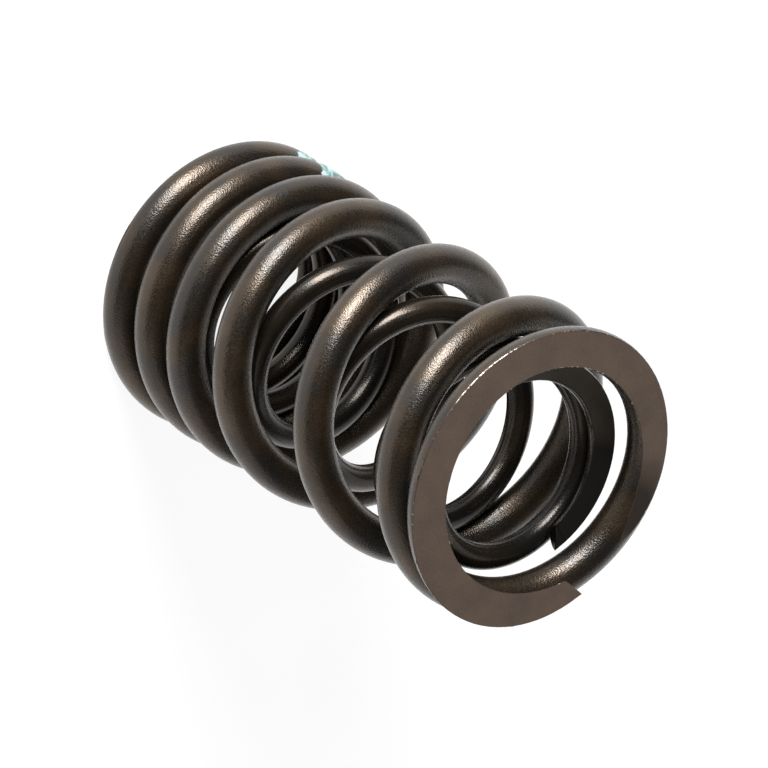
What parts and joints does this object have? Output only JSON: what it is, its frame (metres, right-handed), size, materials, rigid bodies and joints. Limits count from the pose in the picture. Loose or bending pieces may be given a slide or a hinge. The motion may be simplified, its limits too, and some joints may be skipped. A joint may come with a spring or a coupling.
{
  "type": "engine valve spring",
  "caption": "Nested pair of round-wire engine valve springs, wound opposite ways, with closed and ground ends.",
  "frame": {"origin": "centre of the lower ground face, on the common axis of the two springs", "axes": "+Z along the axis from the tightly wound end, which stands on the cylinder head, to the end under the retainer; +X through the two end cuts of the outer spring"},
  "size_m": [0.0354, 0.0354, 0.0615],
  "materials": {
    "outer_wire": "dark oil-tempered spring steel, shot-peened and oiled, satin",
    "inner_wire": "dark oil-tempered spring steel, shot-peened and oiled, satin"
  },
  "bodies": {
    "root": {"outer_spring": "outer_wire", "inner_spring": "inner_wire"}
  },
  "joints": []
}
